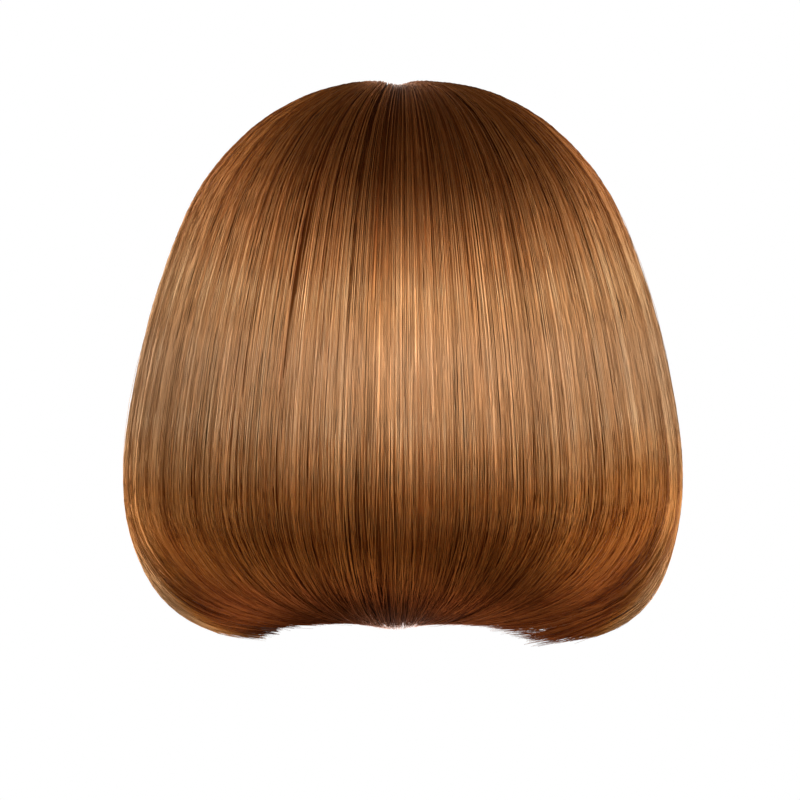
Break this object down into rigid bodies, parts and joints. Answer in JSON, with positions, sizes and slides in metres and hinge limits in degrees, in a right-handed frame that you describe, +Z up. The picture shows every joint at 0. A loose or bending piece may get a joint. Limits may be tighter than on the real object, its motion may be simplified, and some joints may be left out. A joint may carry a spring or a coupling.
{
  "type": "wig",
  "caption": "Straight chin-length bob wig with a parting near the middle and tips turned in under, hollow for the head, open at face and neck.",
  "frame": {"origin": "inside top of the cap, where the crown of the head bears", "axes": "+Z up, +Y the way the wearer faces, +X to the wearer's right"},
  "size_m": [0.246, 0.2055, 0.2449],
  "materials": {
    "hair": "glossy straight light brown hair fibre, darker at the roots and tips",
    "under_hair": "satin darker brown hair fibre",
    "cap_fabric": "matt brown stretch cloth",
    "parting": "matt pale skin-coloured cloth"
  },
  "bodies": {
    "root": {"cap": "cap_fabric", "parting_strip": "parting", "left_hair": "hair", "back_hair": "hair", "right_hair": "hair", "nape_hair": "under_hair"}
  },
  "joints": []
}
